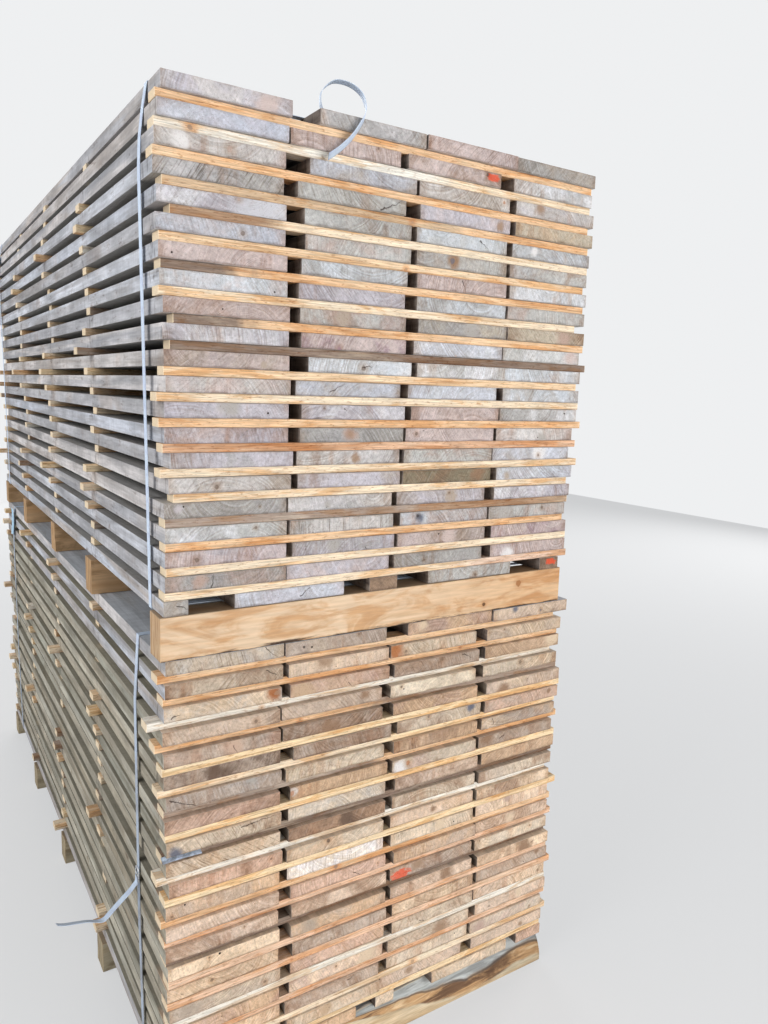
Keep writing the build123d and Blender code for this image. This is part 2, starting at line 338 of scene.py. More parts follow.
# A round mark with a ragged edge: distance from its middle over its radius, plus noise.
round_mark, make, given, out = shared_effect(
    "round_mark", "Point:Vector Mark:Vector Ragged", "Mask Stain Distance")
mark = make.legs(given["Mark"])
flat = make.steer("MULTIPLY", given["Point"], (1, 0, 1))
away = make.steer("LENGTH", make.steer("SUBTRACT", flat, make.vector(mark[0], 0, mark[1])))
away = make.sum("DIVIDE", away, make.sum("MAXIMUM", mark[2], 0.00001))
for_mask, for_stain = (
    make.plus(make.plus(away, noise, given["Ragged"]), given["Ragged"], -0.5)
    for noise in (make.noise(given["Point"], 160, 2), make.noise(given["Point"], 45, 4, 0.6)))
make.put(out["Mask"], (for_mask, 1.15, 0.75))
make.put(out["Stain"], (for_stain, 1.25, 0.3))
make.put(out["Distance"], for_mask)


def finish_of(name, recipe):
    """Material from a recipe, which gives roughness and the height and depth of the small relief."""
    material = bpy.data.materials.new(name)
    material.use_nodes = True
    tree = material.node_tree
    tree.nodes.clear()
    make = Recipe(tree)
    roughness, height, depth = recipe(make)
    shader = tree.nodes.new("ShaderNodeBsdfPrincipled")
    bump = tree.nodes.new("ShaderNodeBump")
    make.put(bump.inputs["Strength"], 0.7)
    make.put(bump.inputs["Distance"], depth)
    make.put(bump.inputs["Height"], height)
    for socket, value in (("Base Color", make.colour), ("Roughness", roughness),
                          ("Normal", bump.outputs[0]), ("Specular IOR Level", 0.25)):
        make.put(shader.inputs[socket], value)
    make.put(tree.nodes.new("ShaderNodeOutputMaterial").inputs[0], shader.outputs[0])
    return material


def bearer_recipe(make):
    """Honey and tan wood: long grain across the stack, knots, cut ends, a dusty upper face, and a painted
    highlight on the edges. The front bearer has a line of bark along its foot and is deeper in tone
    towards the right."""
    where, own, legs = make.places()
    tone, deep, bark = make.fact("tone"), make.fact("tone_deep"), make.fact("bark", True)
    grain = make.use(long_grain, Point=own, Stretch=(2.2, 26, 26))
    figure = make.streaks(own, (5, 16, 16), 5, 0.6, 1.2)
    make.colour = make.blend((figure, 0.44, 0.62, 0, 0.95), tone, deep)
    make.tint((grain["Bands"], 0.46, 0.66, 0, 0.6), (0.86, 0.76, 0.64))
    make.shaded(grain["Fibres"], 0.2, 0.8, 0.84, 1.1)
    foot = make.plus(legs[2], make.streaks(own, (9, 20, 90), 5, 0.75), -0.03)
    make.cover(make.times((foot, -0.056, -0.062), bark), shade(58, 44, 36))
    cut_end = make.over(make.size(legs[0]), make.fact("reach", True))
    butt = make.blend((make.streaks(own, (2, 120, 12), 4, 0.6), 0.4, 0.6),
                      make.steer("MULTIPLY", tone, (0.8, 0.76, 0.68)),
                      make.steer("MULTIPLY", deep, (0.66, 0.62, 0.56)))
    make.cover(make.times(cut_end, 0.8), butt)
    dusty = make.times(make.over(legs[2], make.fact("top", True)), 0.75)
    make.cover(dusty, shade(120, 102, 82))
    for name, middle in (("knot", shade(156, 108, 66)), ("dot", shade(74, 46, 30))):
        mark = make.mark(where, name, 0.7)
        make.tint((mark["Distance"], 2.6, 0.9, 0, 0.5), (0.8, 0.64, 0.5))
        make.cover(make.times(mark["Mask"], 0.85), middle)
    make.tint(make.times((legs[0], -0.1, 0.5), bark), (0.93, 0.82, 0.7))
    # Lighter edges: a painted highlight.
    make.edge_highlight(0.35, shade(226, 198, 158))
    return *make.surface(grain, 0.62, 0.82, 0.5), 0.0012


bearer_wood = finish_of("bearer_wood", bearer_recipe)
# Metres: the strip beside an edge that a cut face may cover, where the near end begins, and the
# height that only the bearers between the bundles lie above.
CUT_STRIP = 0.0015
NEAR = -1.1
HALF_UP = 0.5


def bearer_facts(low, high):
    """Each bearer its own part of the grain; the very front one is honey with two small knots, the
    others are tan between the bundles and greyed by weather underneath."""
    count = len(low)
    front = (np.arange(count) == 0) & (low[:, 1] < NEAR)
    between = low[0, 2] > HALF_UP
    tan, deep_tan = (190, 178, 152), (150, 136, 112)
    if between:
        tan, deep_tan = (206, 170, 130), (162, 130, 94)
    each = front[:, None]
    return {
        "drift": np.stack([np.arange(count) * 1.7, low[:, 1], low[:, 2] * 3], 1),
        "tone": np.where(each, shade(218, 191, 160), shade(*tan)),
        "tone_deep": np.where(each, shade(196, 154, 112), shade(*deep_tan)),
        "reach": (high[:, 0] - low[:, 0]) / 2 - CUT_STRIP,
        "top": (high[:, 2] - low[:, 2]) / 2 - CUT_STRIP,
        "bark": front * 1.0,
        "knot": np.where(each, (0.404, 0.017, 0.009), (0.2, 0.01, 0.006)),
        "dot": np.where(each, (0.288, -0.027, 0.0055), (-0.31, -0.015, 0.004)),
    }


for node in ("lower_bearers", "upper_bearers"):
    sawn(node, (40, 8, 8), 0.0014, 0.0008, [bearer_wood], bearer_facts, 1)

# The lower front bearer is cut from the outside of a log: square at the left, and towards the
# right its top front edge is the round, bark-brown outside, which leaves hardly any front face.


def corners(node):
    """Lowest and highest corner of a CAD node."""
    return (np.array(corner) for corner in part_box(node))


# Along the bearer: share of its length, height of the sawn face and set-back of the flat top (mm).
WANE = [
    (0, 88, 2), (0.25, 87, 3), (0.4, 84, 12), (0.47, 66, 20), (0.55, 50, 26), (0.64, 24, 32),
    (0.7, 7, 36), (0.8, 4, 40), (0.9, 6, 43), (1, 19, 44),
]


def waney_rings(low, high, stations, around):
    """Rings of a skin carried along X. The section is a square bearer whose top front corner is a mix
    of a straight line and a quarter of an oval, from the face height to the set-back of the flat
    top, both read off the list above. Each ring goes up that curve, back over the top, down the
    rear, forward along the foot and up the face."""
    share, tall, back = np.array(WANE).T
    t = np.linspace(0, 1, stations)
    tall, back = (np.interp(t, share, row)[:, None] / 1000 for row in (tall, back))
    deep, high_z = high[1] - low[1], high[2] - low[2]
    q = np.linspace(0, 1, around)
    flat = np.linspace(0, 1, 7)
    level = np.ones((stations, 1))
    ys = [back * (0.35 * q + 0.65 * (1 - np.cos(q * np.pi / 2))), back + (deep - back) * flat[1:],
          level * np.full(6, deep), deep * (1 - flat[1:]) * level, level * np.zeros(5)]
    zs = [tall + (high_z - tall) * (0.45 * q + 0.55 * np.sin(q * np.pi / 2)), level * np.full(6, high_z),
          high_z * (1 - flat[1:]) * level, level * np.zeros(6), tall * flat[1:-1]]
    ys, zs = np.concatenate(ys, 1), np.concatenate(zs, 1)
    xs = (low[0] + t * (high[0] - low[0]))[:, None] * np.ones_like(ys)
    return np.stack([xs, ys + low[1], zs + low[2]], -1)


def closed_tube(name, rings, material, facts, flip=False):
    """Object from rings of points: four-sided faces between neighbouring rings, and both ends closed
    by a fan round the middle of the end ring."""
    stations, around = rings.shape[:2]
    first = np.arange(stations - 1)[:, None] * around
    j = np.arange(around)
    n = (j + 1) % around
    middle = stations * around
    last = middle - around
    quads = np.stack([first + j, first + around + j, first + around + n, first + n], -1)
    fans = np.stack([n, j, 0 * j + middle], 1), np.stack([last + j, last + n, 0 * j + middle + 1], 1)
    faces = [face for sheet in (quads.reshape(-1, 4), *fans)
             for face in sheet[:, ::-1 if flip else 1].tolist()]
    rows = {
        fact: np.concatenate([value.reshape(middle, -1), [value[0].mean(0), value[-1].mean(0)]])
        for fact, value in {"points": rings, **facts}.items()
    }
    return new_object(name, rows.pop("points"), faces, [material], rows, smooth=True)


def waney_recipe(make):
    """Round outside of the log: a grey weathered band above, brown and orange figure with a dark
    stain in the middle, a painted shadow line under the band and a pale strip along the foot, all
    darker at the right end; the sawn face is cream and the flat top grey."""
    where = make.fact("where")
    side = make.legs(make.fact("part"))
    grain = make.use(long_grain, Point=where, Stretch=(3, 34, 34))
    bands = grain["Bands"]
    figure = make.streaks(where, (5, 34, 40), 6, 0.6, 0.9)
    bark = make.blend((figure, 0.4, 0.52), shade(112, 84, 62), shade(192, 152, 108))
    bark = make.blend((figure, 0.54, 0.66), bark, shade(222, 192, 152))
    stain = make.use(round_mark, Point=where, Mark=(0.39, 0.03, 0.09), Ragged=1.4)
    bark = make.blend(make.times(stain["Stain"], 0.85), bark, shade(78, 54, 40))
    height = make.plus(side[2], make.streaks(where, (5, 2, 2), 5, 0.45), 0.7)
    weathered = make.blend((figure, 0.42, 0.6), shade(196, 200, 198), shade(150, 152, 150))
    bark = make.blend((height, 0.72, 0.88), bark, weathered)
    # A dark line under the grey band: a painted shadow line.
    shadow_line = make.ramp(make.size(make.sum("SUBTRACT", height, 0.78)), 0.05, 0.01, 0, 0.7)
    bark = make.blend(shadow_line, bark, shade(74, 60, 50))
    foot = make.blend((bands, 0.4, 0.62), shade(214, 200, 172), shade(170, 154, 128))
    bark = make.blend((height, 0.45, 0.36), bark, foot)
    top = make.blend((bands, 0.4, 0.65), shade(150, 152, 154), shade(122, 118, 112))
    face = make.blend((bands, 0.35, 0.65), shade(222, 202, 170), shade(190, 162, 124))
    make.colour = make.blend(side[1], make.blend(side[0], face, bark), top)
    make.shaded(grain["Fibres"], 0.2, 0.8, 0.78, 1.12)
    make.shaded(make.legs(where)[0], 0.38, 0.56, 1, 0.72)
    crack = make.ramp(make.streaks(where, (6, 60, 60), 4, 0.7), 0.66, 0.72, 0, 0.7)
    make.cover(crack, shade(70, 56, 46))
    return 0.75, make.plus(grain["Fibres"], bands, 0.5), 0.0025


bearer_low, bearer_high = corners("lower_front_bearer")
arc = 14
uneven = 0.004
rings = waney_rings(bearer_low, bearer_high, stations=120, around=arc)
part = np.zeros(rings.shape)
part[:, 1:arc - 1, 0] = 1
part[:, [0, arc - 1], 0] = 0.5
part[:, :arc, 2] = np.linspace(0, 1, arc)
part[:, arc:arc + 5, 1:] = 1
bend = ripple(rings.reshape(-1, 3), 77, 0.06).reshape(rings.shape[:2])
rings[1:-1, 1:arc - 1, 1] += uneven * bend[1:-1, 1:arc - 1]
waney = closed_tube("lower_front_bearer_waney", rings, finish_of("waney_wood", waney_recipe),
                    {"where": rings - (bearer_low + bearer_high) / 2, "part": part})
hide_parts("lower_front_bearer")

# The boards: sawn hardwood, a little uneven, stacked four abreast and one layer on the next. The
# ends show year rings and the slanting marks of the cross-cut saw; the long sides are weathered.

# Year rings: waves of the distance from the log's middle, bent by noise, and fine rays from it.
year_rings, make, given, out = shared_effect(
    "year_rings", "Point:Vector Pith:Vector Spacing", "Rings Rays")
flat = make.steer("MULTIPLY", given["Point"], (1, 0, 1))
arm = make.steer("SUBTRACT", flat, given["Pith"])
bent = make.plus(make.steer("LENGTH", arm), make.noise(flat, 14), 0.016)
turns = make.vector(make.sum("DIVIDE", bent, given["Spacing"]), 0, 0)
make.put(out["Rings"], (make.noise(turns, 1, 3, 0.7), 0.38, 0.6))
legs = make.legs(arm)
angle = make.sum("ARCTAN2", legs[0], legs[2])
fan = make.vector(make.times(angle, 90), make.times(bent, 25), 0)
make.put(out["Rays"], make.noise(fan, 1, 2, 0.6))

# Saw marks: noise that is fine across the marks and long along them, turned by the given angle.
saw_marks, make, given, out = shared_effect(
    "saw_marks", "Point:Vector Turn Pitch", "Marks")
legs = make.legs(make.turned(given["Point"], given["Turn"]))
lane = make.vector(make.sum("DIVIDE", legs[0], given["Pitch"]), 0, make.times(legs[2], 12))
make.put(out["Marks"], make.noise(lane, 1, 3, 0.65))

# A check in the wood: a thin wandering line from a start, narrowing along its length.
check_line, make, given, out = shared_effect(
    "check_line", "Point:Vector Start:Vector Turn", "Mask")
start = make.legs(given["Start"])
moved = make.steer("SUBTRACT", given["Point"], make.vector(start[0], 0, start[1]))
legs = make.legs(make.turned(moved, given["Turn"]))
share = make.sum("DIVIDE", legs[0], make.sum("MAXIMUM", start[2], 0.00001))
wander = make.plus(legs[2], make.noise(given["Point"], 70, 3), 0.012)
wander = make.size(make.sum("SUBTRACT", wander, 0.006))
width = make.times(make.sum("SUBTRACT", 1.05, share), 0.0011)
inside = make.ramp(make.sum("SUBTRACT", wander, width), 0.0006, -0.0002)
make.put(out["Mask"], make.times(inside, make.over(share, 0)))

RING_SPACING = 0.0058
SAW_PITCH = 0.0042


def end_recipe(make):
    """Cross-cut end: tone, clouds of a second tone, bluish film, brown heart, year rings, patches of
    saw marks, brown rims, a darker foot of painted contact shade and dirt, blot, knot, pit, paint on
    the near ends only, check, specks and a painted highlight on the edges."""
    where, own, legs = make.places()
    cut = make.legs(make.fact("cut"))
    rings = make.use(year_rings, Point=where, Pith=make.fact("pith"), Spacing=RING_SPACING)
    marks = make.use(saw_marks, Point=own, Turn=cut[0], Pitch=SAW_PITCH)["Marks"]
    wash = make.ramp(make.noise(own, 10, 5, 0.65, 0.8), 0.4, 0.66, 0, 0.75)
    make.colour = make.blend(wash, make.fact("tone"), make.fact("wash"))
    make.shaded(make.noise(own, 26, 5, 0.72), 0.32, 0.68, 0.9, 1.07)
    make.shaded(make.noise(own, 120, 4, 0.7), 0.35, 0.65, 0.86, 1.11)
    film = make.ramp(make.noise(make.lit(own, -0.7), 6, 3), 0.5, 0.68, 0, 0.3)
    make.tint(film, (0.84, 0.88, 1))
    streaks = make.ramp(make.streaks(own, (46, 1, 9), 4, 0.65), 0.44, 0.64)
    heart = make.times(streaks, (make.noise(own, 5.5, 3, 0.6), 0.5, 0.62, 0, 0.6))
    make.tint(heart, (0.72, 0.55, 0.44))
    dark = make.times(rings["Rings"], (make.noise(own, 8), 0.38, 0.62, 0.15), 0.7)
    make.tint(dark, (0.62, 0.56, 0.5))
    make.shaded(rings["Rays"], 0.3, 0.7, 0.93, 1.05)
    area = make.ramp(make.noise(own, 7, 3, 0.6), 0.36, 0.54, 0.15)
    strong = make.times((marks, 0.5, 0.7), cut[1], area, 0.6)
    make.tint(strong, (0.5, 0.45, 0.4))
    pale = make.times((marks, 0.46, 0.28), area, 0.42)
    make.tint(pale, (0.6, 0.6, 0.6), (0.36, 0.35, 0.36))
    soft = make.noise(own, 30, 3)
    rim = make.plus(make.size(legs[2]), soft, 0.016)
    make.tint((rim, 0.0195, 0.0265, 0, 0.6), (0.66, 0.54, 0.44))
    flank = make.plus(make.size(legs[0]), make.noise(own, 16, 4, 0.65), 0.09)
    make.tint((flank, 0.155, 0.185, 0, 0.7), (0.74, 0.63, 0.54))
    # Darker along the lower edge of the end: painted contact shade, with some dirt.
    foot = make.plus(make.times(legs[2], -1), soft, 0.012)
    make.shaded(foot, 0.016, 0.0225, 1, 0.66)
    blot = make.mark(where, "blot", 1.6)
    make.cover(make.times(blot["Stain"], 0.9), make.fact("blot_tone"))
    knot = make.mark(where, "knot", 1)
    make.tint((knot["Distance"], 3.6, 1, 0, 0.6), (0.74, 0.6, 0.48))
    make.cover(make.times(knot["Mask"], 0.65), make.fact("knot_tone"))
    make.cover(make.mark(where, "pit", 0.5)["Mask"], shade(50, 38, 32))
    at_front = make.times(make.sum("LESS_THAN", legs[1], 0), 0.8)
    paint = make.mark(make.steer("MULTIPLY", where, (0.5, 1, 1)), "paint", 1.4)["Mask"]
    make.cover(make.times(paint, at_front), shade(224, 82, 46))
    check = make.use(check_line, Point=where, Start=make.fact("check"), Turn=cut[2])["Mask"]
    make.cover(make.times(check, 0.8), shade(60, 46, 40))
    speck = make.ramp(make.noise(own, 230, 3, 0.7), 0.56, 0.68, 0, 0.5)
    make.tint(speck, (0.5, 0.42, 0.36))
    # Lighter edges: a painted highlight.
    make.edge_highlight(0.6, make.lit(make.colour, 1.25))
    height = make.plus(make.plus(rings["Rings"], marks, 1), check, -3)
    return (marks, 0.3, 0.7, 0.7, 0.88), height, 0.0014


LATH_SPACING = 0.5925


def long_recipe(make):
    """Long sides: weathered grain, browner between two boards, cloudy streaks, stains, faint band-saw
    lines, dark flecks, dark drips below the lines of laths, knots, and a painted highlight on the edges."""
    where, own, legs = make.places()
    grain = make.use(long_grain, Point=own, Stretch=(30, 1.6, 30))
    bands = grain["Bands"]
    make.colour = make.blend((bands, 0.4, 0.6), make.fact("side"), make.fact("side_deep"))
    inner = make.legs(make.fact("inner"))
    between = make.plus(inner[0], make.over(legs[0], 0), inner[1])
    gap_tone = make.blend((bands, 0.36, 0.6), shade(166, 148, 132), shade(118, 102, 90))
    make.cover(make.times(between, 0.85), gap_tone)
    make.shaded(make.streaks(own, (14, 4.5, 14), 5, 0.65), 0.32, 0.64, 1.12, 0.7)
    stain = make.ramp(make.noise(own, 4, 4, 0.6), 0.56, 0.7, 0, 0.6)
    make.tint(stain, (0.78, 0.68, 0.6))
    make.shaded(grain["Fibres"], 0.2, 0.8, 0.8, 1.14)
    make.shaded(make.streaks(own, (8, 130, 8), 2), 0.35, 0.65, 0.95, 1.04)
    fleck = make.ramp(make.streaks(own, (70, 14, 70), 3, 0.7), 0.59, 0.71, 0, 0.65)
    make.tint(fleck, (0.5, 0.44, 0.4))
    from_lath = make.sum("PINGPONG", legs[1], LATH_SPACING / 2)
    drip = make.ramp(make.streaks(own, (10, 60, 22), 3, 0.6), 0.52, 0.64)
    drip = make.times(drip, (from_lath, 0.05, 0.025, 0, 0.7))
    make.tint(drip, (0.42, 0.4, 0.4))
    knot = make.ramp(make.streaks(own, (22, 11, 22), 2), 0.7, 0.78, 0, 0.8)
    make.tint(knot, (0.42, 0.32, 0.26))
    # Lighter edges: a painted highlight.
    make.edge_highlight(0.35, shade(222, 224, 226))
    return *make.surface(grain, 0.68, 0.86, 0.6), 0.0013


def flat_recipe(make):
    """Flats of the boards, seen on top and as narrow ledges above the laths: a light tone near the ends,
    painted light on the ledges, and a darker one further in, painted shade inside the stack; deeper
    bands, dust, flame-shaped grain, faint band-saw lines and knots."""
    where, own, legs = make.places()
    grain = make.use(long_grain, Point=own, Stretch=(24, 1.6, 24))
    # Light near the ends and darker further in: painted light and painted shade.
    near_end = make.ramp(make.size(legs[1]), 1.12, 1.17)
    base = make.blend(near_end, make.fact("flat_inside"), make.fact("flat"))
    make.colour = make.blend((grain["Bands"], 0.36, 0.66), base, make.lit(base, 0.72))
    dust = make.ramp(make.noise(own, 13, 4, 0.6), 0.45, 0.7, 0, 0.5)
    make.cover(dust, make.lit(base, 0.86))
    flame = make.streaks(own, (16, 1.1, 16), 4, 0.6, 1.4)
    lines = make.plus(0.5, make.sum("SINE", make.times(flame, 60)), 0.5)
    grained = make.times((lines, 0.5, 1), (flame, 0.42, 0.6, 0, 0.5))
    make.tint(grained, (0.76, 0.68, 0.6))
    make.shaded(make.streaks(own, (6, 120, 6), 2), 0.35, 0.65, 0.94, 1.05)
    knot = make.ramp(make.streaks(own, (17, 8.5, 17), 2), 0.73, 0.79, 0, 0.75)
    make.tint(knot, (0.5, 0.38, 0.3))
    make.shaded(grain["Fibres"], 0.2, 0.8, 0.84, 1.1)
    return *make.surface(grain, 0.7, 0.88, 0.6), 0.0011


board_finishes = [finish_of("board_long_wood", long_recipe), finish_of("board_end_wood", end_recipe),
                  finish_of("board_flat_wood", flat_recipe)]


def tones_from(text):
    """Tones by name, from a text of names and their colours as the eye reads them."""
    words = text.split()
    return {words[i]: shade(*map(int, words[i + 1:i + 4])) for i in range(0, len(words), 4)}


# Tones of the wood by name, as a timber yard would tell them apart.
TONES = tones_from("""
lavender 194 186 189   blue_grey 198 197 202   pale 207 199 193   pink 202 183 176
pink_brown 182 156 142   beige 196 181 160   brown 158 130 106   dark 104 84 70
salmon 197 168 147   white 226 222 220   grey 172 166 160   olive 138 126 104
cream 222 208 184   tan 192 164 134   purple 150 118 130   ink 92 98 114
amber 170 104 56   black 46 36 32   ash 194 190 184   mist 204 205 207   dun 174 158 142
umber 142 112 88   fawn 201 180 159   sand 216 194 166
""")
# Usual first and second tones of ends and sides; flats: painted light near the ends, painted shade
# inside.
USUAL = {
    "upper": ("lavender pale ash lavender blue_grey ash pale mist grey pink",
              "dun lavender grey white pink dun grey pink_brown"),
    "lower": ("beige tan fawn dun fawn salmon beige sand", "brown pink_brown tan umber sand dun umber"),
}
SIDES = {
    "upper": [(206, 209, 216), (198, 202, 211), (208, 204, 203), (188, 188, 192)],
    "lower": [(186, 182, 168), (172, 170, 156), (194, 188, 172), (178, 170, 152)],
}
# Flat tones: light near the ends, painted light on the ledges; darker inside the stack, painted shade.
FLATS = {"upper": shade(198, 192, 184), "lower": shade(206, 188, 170)}
SHADED_INSIDE_FLATS = {"upper": shade(162, 160, 158), "lower": shade(158, 152, 136)}
# Boards that stand out, by bundle and layer from the top (0 is the row on the bearers), then board
# from the left. Round marks and checks are given from the middle of the board's end in millimetres:
# across, up, and radius or length, then the mark's tone or a check's lean in degrees. The saw marks
# have a turn in radians and a depth of cut.
NOTES = """
upper 0 | 2 tone blue_grey,lavender check 20,-6,34,35 | 3 tone brown,dark | 4 knot 15,-8,4
upper 0 | 5 tone brown,dark paint 8,4,9
upper 1 | 1 tone lavender,pale blot 78,-2,30,pink | 2 tone pale | 3 tone pink,pink_brown cut 1.2 turn -0.8
upper 1 | 4 tone grey
upper 2 | 1 tone blue_grey,lavender cut 0.4 turn -0.9
upper 2 | 2 tone pink,pink_brown turn 0.05 cut 0.9 knot 74,12,3
upper 2 | 3 tone pink,brown paint 108,4,9 knot 92,8,5,black | 4 tone white,grey
upper 3 | 1 tone pale,pink blot -82,2,22,white knot 14,0,6,pink_brown | 2 tone blue_grey
upper 3 | 3 tone pale blot 114,6,9,white knot 114,6,4,amber | 4 blot -56,9,18,brown
upper 4 | 1 tone grey,pale cut 2.2 turn -0.55 | 2 tone ash,grey check 65,-12,66,23 cut 0.8
upper 4 | 3 tone lavender,pink blot 102,-2,14,brown | 4 tone beige,tan
upper 5 | 1 tone lavender blot 75,-4,62,blue_grey knot 30,12,4,pink_brown | 2 tone ash,grey
upper 5 | 3 tone mist,ash check 48,10,26,-35 | 4 tone mist blot -61,6,14
upper 6 | 1 tone blue_grey knot 40,-2,5 | 2 tone ash,pink_brown
upper 6 | 3 tone ash,dun knot -33,3,7,ink blot -28,2,22,brown | 4 tone ash,brown
upper 7 | 2 tone mist,grey | 3 tone pink check -4,12,26,-66 | 4 tone white,mist
upper 8 | 2 tone lavender | 3 tone mist | 4 tone ash
upper 9 | 2 tone ash blot -30,0,24 | 3 tone grey,beige blot 20,2,30 | 4 tone beige,brown blot 60,0,26
upper 10 | 1 tone lavender | 2 tone pink,purple knot -41,-13,5,purple
upper 11 | 2 tone mist knot 4,-2,6 check 0,-2,26,12 | 3 tone white,ash | 4 tone mist,pale
upper 12 | 2 tone blue_grey check -50,-6,34,24 cut 0.4 | 3 tone blue_grey,mist | 4 tone mist
upper 13 | 3 tone pink,pink_brown
upper 14 | 1 tone lavender | 2 knot -10,2,5,brown blot -8,2,20,pink_brown
upper 15 | 2 blot 14,-1,14,brown
upper 16 | 1 knot -34,-4,5 | 3 tone olive,umber blot 90,4,26,umber
upper 17 | 4 tone lavender,white turn 0.8 cut 1.0
upper 18 | 2 tone pale turn 0.02 cut 1.6 | 3 blot -77,4,16,ink knot -82,6,4,black
upper 19 | 1 knot -67,-3,5 | 4 wash purple turn -0.4 cut 1.0
upper 20 | 1 tone grey,pink_brown check -34,-14,30,82 blot -60,4,20 | 2 tone lavender
lower 1 | 1 tone beige,ash cut 1.2 check 86,14,34,-42
lower 1 | 2 tone dun,beige knot 55,11,3 pit -68,-2,2.5 blot -88,1,4,black
lower 1 | 4 blot -58,11,12,ink knot 34,-4,4,ink
lower 2 | 1 tone beige check 92,12,30,-30 cut 1.0 turn -0.7 | 3 blot -118,3,26,amber knot -88,-4,4
lower 3 | 1 tone sand,ash blot 112,4,16,amber knot 120,5,6,brown check -118,-8,20
lower 3 | 3 knot 11,9,4 check 74,13,38,-24
lower 4 | 3 tone cream,beige knot -101,9,3.5,black pit -94,2,2 | 4 knot -2,6,5
lower 5 | 1 tone dun,salmon blot 26,4,22,salmon check 20,4,18,-60
lower 6 | 1 tone dun,dark blot -20,-2,34,dark | 2 tone dun,umber | 3 blot 98,12,16,ink knot -38,11,4
lower 7 | 1 tone dun,grey blot 60,12,18,grey check -126,11,74 | 2 tone cream | 4 check -96,12,24,-70
lower 8 | 2 blot -124,6,12,white knot -128,2,6,amber
lower 8 | 3 tone beige blot -108,-3,22,white knot -86,2,6,amber
lower 9 | 1 tone beige,umber cut 1.4 blot -112,-10,16,ink check 34,8,84,4 | 2 tone beige,ash
lower 10 | 1 tone tan,beige cut 1.6 turn 0.9 | 2 tone brown,dark blot 20,2,26,dark
lower 11 | 2 knot -23,8,5,black
lower 12 | 1 knot -119,-7,3 pit -91,12,2.5 | 2 tone white,cream
lower 14 | 3 paint -100,-4,15 wash brown blot -50,8,22,brown
lower 15 | 1 knot -39,10,3,black pit -15,11,3
lower 0 | 2 tone tan | 4 tone beige
"""
FOLLOWED_BY = {"tone": "wash", "knot": "knot_tone", "blot": "blot_tone", "check": "lean"}
NOTED = {}
for line in NOTES.strip().split("\n"):
    row, *boards = line.split(" | ")
    for board, *words in map(str.split, boards):
        note = NOTED[row, int(board)] = {}
        for kind, word in zip(words[::2], words[1::2]):
            parts = [part if part in TONES else float(part) for part in word.split(",")]
            note[kind] = parts[:3] if len(parts) > 2 else parts[0]
            if len(parts) in (2, 4):
                note[FOLLOWED_BY[kind]] = parts[-1]


def row_facts(bundle, layer, count):
    """Values of the boards of one layer: what is noted above, or else a draw that the layer fixes."""
    pick = np.random.default_rng(layer * 7 + (3 if bundle == "upper" else 1000))

    def spot(right, up, least, most):
        """A place on the board's end and a radius or length, in millimetres, or none."""
        return pick.uniform(-110, right), pick.uniform(-up, up), max(0, pick.uniform(least, most))

    tones, washes = (words.split() for words in USUAL[bundle])
    sides, tint_and_painted_light, sharper = SIDES["upper"], (1.0, 1.04, 1.08), 1.1
    if bundle == "lower":
        # The lower bundle's tones are painted lighter, most in its lowest layers: painted light from the
        # floor.
        painted_floor_light = np.interp(layer or 20, (1, 8, 12), (0.92, 0.98, 1.18))
        tint_and_painted_light, sharper = np.array((1.18, 1.17, 1.19)) * painted_floor_light, 1.45
        sides = SIDES["upper" if layer < 4 else "lower"]
    rows = []
    for number in range(count):
        draw = {
            "tone": tones[pick.integers(len(tones))], "wash": washes[pick.integers(len(washes))],
            "turn": pick.choice([-0.7, 0.6, 0.2]) + pick.uniform(-0.25, 0.25),
            "cut": pick.uniform(0.3, 0.9), "knot": spot(110, 10, -7, 4.5),
            "pit": spot(110, 10, -3, 2.4), "blot": spot(110, 14, -30, 34),
            "blot_tone": washes[pick.integers(len(washes))], "knot_tone": "dark",
            "paint": (0, 0, 0), "check": spot(80, 12, -90, 30), "lean": pick.uniform(-50, 50),
        }
        side, side_deep = (shade(*sides[pick.integers(4)]) for _ in range(2))
        drift = pick.uniform(-9, 9, 3)
        pith = pick.uniform(-0.13, 0.13), 0, pick.uniform(0.02, 0.13)
        note = NOTED.get((f"{bundle} {layer}", number + 1))
        if note:
            draw.update({kind: (0, 0, 0) for kind in ("knot", "pit", "blot", "check")}, **note)
        tone = np.array(TONES[draw["tone"]]) * pick.uniform(0.94, 1.06) * tint_and_painted_light
        flat = (tone + FLATS[bundle]) / 2
        if (bundle, layer) == ("lower", 1):
            flat = shade(192, 196, 202)
        first, last = float(number > 0), float(number < count - 1)
        row = {
            "tone": tone, "wash": np.array(TONES[draw["wash"]]) * tint_and_painted_light, "drift": drift,
            "side": side, "side_deep": np.array(side_deep) * (0.74, 0.71, 0.68),
            "inner": (first, last - first, 0.0),
            # Flats inside the stack take the darker tone, a painted shade, except in each bundle's top
            # layer.
            "flat": flat, "flat_inside": flat if layer == 1 else SHADED_INSIDE_FLATS[bundle],
            "pith": pith if pick.random() < 0.5 else np.array(pith) * (1, 1, -1),
            "cut": (draw["turn"], draw["cut"] * sharper, np.radians(draw["lean"])),
            "blot_tone": TONES[draw["blot_tone"]], "knot_tone": TONES[draw["knot_tone"]],
        }
        for kind in ("knot", "pit", "blot", "paint", "check"):
            row[kind] = np.array(draw[kind]) / 1000
        row["paint"][0] *= 0.5
        rows.append(row)
    return {key: [row[key] for row in rows] for key in rows[0]}


for bundle in ("lower", "upper"):
    for layer in range(21):
        sawn(f"{bundle}_layer_{layer:02d}" if layer else bundle + "_base_row", (14, 28, 6), 0.0011,
             0.0006, board_finishes,
             lambda low, high: row_facts(bundle, layer, len(low)))

# The stickers: thin laths laid across between the layers, so that air can pass, cut from leftovers
# of many kinds of wood. Some change colour along their length.


